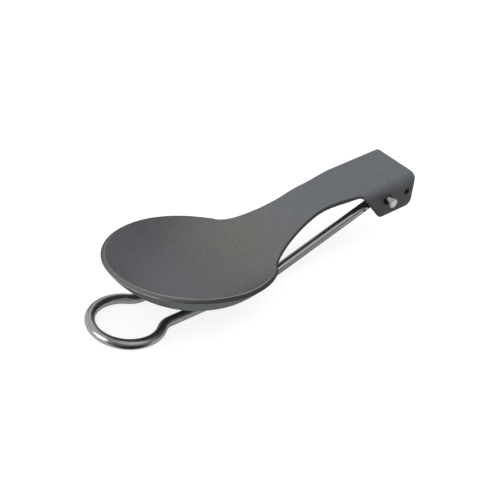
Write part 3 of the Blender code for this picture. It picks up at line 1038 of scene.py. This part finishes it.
def polished():
    """Polished drawn stainless wire: fine lines along it, faint smears and a few soft scratches,
    with painted shade in the holes, on the nubs and on and under the pins.
    """
    material, nodes, shader = new_material("polished_steel")
    place = nodes.attribute("wire_place", "Vector")
    body = nodes.add("ShaderNodeTexCoord").outputs["Object"]
    pin = nodes.attribute("pin")
    lines = nodes.noise(nodes.stretched(place, LINES_STRETCH), 1.0, 2.0, LINES_ROUGHNESS)
    smear = nodes.noise(body, SMEAR_SCALE, 3.0)
    ticks = nodes.noise(nodes.stretched(place, TICKS_STRETCH), 1.0, 3.0, TICKS_ROUGHNESS)
    colour = nodes.mix(nodes.ramp(smear, *SMEAR_TINT_RANGE), STEEL_GREY, STEEL_PALE)
    colour = nodes.mix(nodes.ramp(ticks, *TICK_RANGE, *TICK_SHARES), colour, TICK_GREY)
    colour = nodes.mix(pin, colour, PIN_PALE)
    # Painted shade: the wire in the holes, the nubs' middles, the pins' rims and the flanks under
    # them
    colour = nodes.mix(nodes.attribute("dark"), colour, NEAR_BLACK)
    satin = nodes.ramp(smear, *SMEAR_RANGE, *WIRE_ROUGHNESS)
    rough = nodes.total(satin, nodes.ramp(lines, *ROUGH_RANGE, *WIRE_ROUGHENING))
    rough = nodes.total(rough, nodes.product(pin, PIN_ROUGHENING))
    metallic = nodes.ramp(pin, 0.0, PIN_FLANK_MARK, 1.0, PIN_METALLIC)
    height = nodes.total(nodes.product(lines, LINES_HEIGHT), nodes.product(ticks, TICKS_HEIGHT))
    bump = nodes.bump(height, WIRE_BUMP, WIRE_BUMP_DISTANCE)
    nodes.feed(shader, {"Base Color": colour, "Roughness": rough, "Metallic": metallic})
    nodes.feed(shader, {"Normal": bump})
    return material


def add_floor():
    """Pale floor that keeps the object's shadow and glows to white for the camera.

    Reflections do not see that white. They see a greyer floor with a dark and a grey place,
    which no camera ray sees, so that the wire mirrors dark bands.
    """
    mesh = bpy.data.meshes.new("floor")
    turns = ((-1, -1), (1, -1), (1, 1), (-1, 1))
    corners = [(x * FLOOR_REACH, y * FLOOR_REACH, -FLOOR_DROP) for x, y in turns]
    mesh.from_pydata(corners, [], [(0, 1, 2, 3)])
    material, nodes, shader = new_material("pale_floor")
    seen, mirrored = nodes.ray_kinds()
    place = nodes.add("ShaderNodeTexCoord").outputs["Object"]
    dark = nodes.ramp(nodes.distance(place, DARK_PLACE), DARK_FULL, DARK_END)
    from_grey = nodes.distance(place, GREY_PLACE)
    grey = nodes.ramp(from_grey, GREY_FULL, GREY_END, 1 - GREY_SHARE, 1.0)
    open_floor = nodes.maths("MINIMUM", dark, grey)
    hidden = nodes.product(mirrored, nodes.maths("SUBTRACT", 1.0, open_floor))
    pale = nodes.mix(seen, FLOOR_GREY, FLOOR_SEEN_GREY)
    mirrored_glow = nodes.product(mirrored, open_floor, FLOOR_MIRRORED_GLOW)
    nodes.feed(shader, {
        "Base Color": nodes.mix(hidden, pale, NEAR_BLACK),
        "Roughness": FLOOR_ROUGHNESS,
        "Specular IOR Level": 0.0,
        "Emission Color": WHITE,
        "Emission Strength": nodes.total(nodes.product(seen, FLOOR_GLOW), mirrored_glow),
    })
    mesh.materials.append(material)
    floor = bpy.data.objects.new("floor", mesh)
    bpy.context.collection.objects.link(floor)


def lit_by_panels(nodes, way, level, panels):
    """The level with soft round panels added, each in its own direction."""
    for centre, full, end, strength in panels:
        facing = nodes.vector_maths("DOT_PRODUCT", way, Vector(centre).normalized(), "Value")
        low, high = math.cos(math.radians(end)), math.cos(math.radians(full))
        level = nodes.total(level, nodes.ramp(facing, low, high, 0.0, strength))
    return level


def add_world():
    """White for the camera, soft light for the object and a dim room with panels for reflections.

    Reflections do not see the camera's white, which would take the dark bands from the wire.
    """
    world = bpy.data.worlds.new("studio")
    world.use_nodes = True
    nodes = Nodes(world.node_tree)
    way = nodes.add("ShaderNodeTexCoord").outputs["Generated"]
    room = lit_by_panels(nodes, way, ROOM_LEVEL, ROOM_PANELS)
    soft = lit_by_panels(nodes, way, 0.0, SOFT_PANELS)
    seen, mirrored = nodes.ray_kinds()
    rest = nodes.maths("SUBTRACT", 1.0, nodes.maths("MAXIMUM", seen, mirrored))
    level = nodes.total(seen, nodes.product(mirrored, room), nodes.product(rest, soft))
    background = world.node_tree.nodes["Background"]
    nodes.feed(background, {"Color": WHITE, "Strength": level})
    bpy.context.scene.world = world


def add_camera():
    """Camera at the photographed angle, held from the pivot."""
    back = Vector((
        math.sin(AZIMUTH) * math.cos(ELEVATION),
        -math.cos(AZIMUTH) * math.cos(ELEVATION),
        math.sin(ELEVATION),
    ))
    level = Vector((0, 0, 1)).cross(back).normalized()
    upright = back.cross(level)
    right = level * math.cos(ROLL) + upright * math.sin(ROLL)
    up = upright * math.cos(ROLL) - level * math.sin(ROLL)
    data = bpy.data.cameras.new("camera")
    data.lens = LENS
    data.sensor_width = SENSOR_WIDTH
    data.clip_start = CLIP_START
    camera = bpy.data.objects.new("camera", data)
    turn = Matrix((right, up, back)).transposed().to_4x4()
    camera.matrix_world = Matrix.Translation(pivot + AIM + back * DISTANCE) @ turn
    bpy.context.collection.objects.link(camera)
    bpy.context.scene.camera = camera


head = add_head(anodised())
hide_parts("spoon_head")
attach(head, "head")
handle = add_handle(polished())
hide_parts("wire_handle")
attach(handle, "handle")

add_floor()
add_world()
add_camera()
bpy.context.scene.view_settings.view_transform = "Standard"
